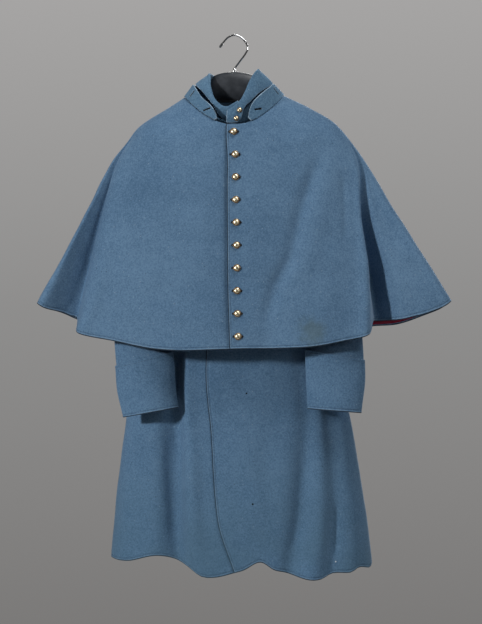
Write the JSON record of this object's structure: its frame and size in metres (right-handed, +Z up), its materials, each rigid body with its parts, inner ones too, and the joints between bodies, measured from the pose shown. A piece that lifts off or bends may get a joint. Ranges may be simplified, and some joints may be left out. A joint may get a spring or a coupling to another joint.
{
  "type": "military overcoat with a shoulder cape on a clothes hanger",
  "caption": "Long single-breasted wool military overcoat with a button-front shoulder cape, turned-back cuffs and a stand collar, hanging on a moulded hanger with a wire hook.",
  "frame": {"origin": "inside top of the hanger's hook, where a rail or peg carries it", "axes": "+Z up, front of the coat towards -Y, +X towards the wearer's left"},
  "size_m": [0.9288, 0.3155, 1.2249],
  "materials": {
    "cape_wool": "napped wool, matte",
    "coat_wool": "napped wool, matte",
    "lining": "plain woven flannel, matte",
    "brass": "worn gilt",
    "hanger_plastic": "satin",
    "hook_wire": "bright"
  },
  "bodies": {
    "root": {"cape_left": "cape_wool", "cape_right": "cape_wool", "cape_collar": "cape_wool", "cape_lining_left": "lining", "cape_lining_right": "lining", "coat_front_left": "coat_wool", "coat_front_right": "coat_wool", "coat_back": "coat_wool", "coat_collar": "coat_wool", "sleeve_left_front": "coat_wool", "sleeve_left_back": "coat_wool", "sleeve_right_front": "coat_wool", "sleeve_right_back": "coat_wool", "cuff_left": "coat_wool", "cuff_right": "coat_wool", "cape_button_1": "brass", "cape_button_2": "brass", "cape_button_3": "brass", "cape_button_4": "brass", "cape_button_5": "brass", "cape_button_6": "brass", "cape_button_7": "brass", "cape_button_8": "brass", "cape_button_9": "brass", "cape_button_10": "brass", "collar_button_1": "brass", "collar_button_2": "brass", "coat_button_1": "brass", "coat_button_2": "brass", "coat_button_3": "brass", "coat_button_4": "brass", "coat_button_5": "brass", "hanger_body": "hanger_plastic", "hanger_hook": "hook_wire"}
  },
  "joints": []
}
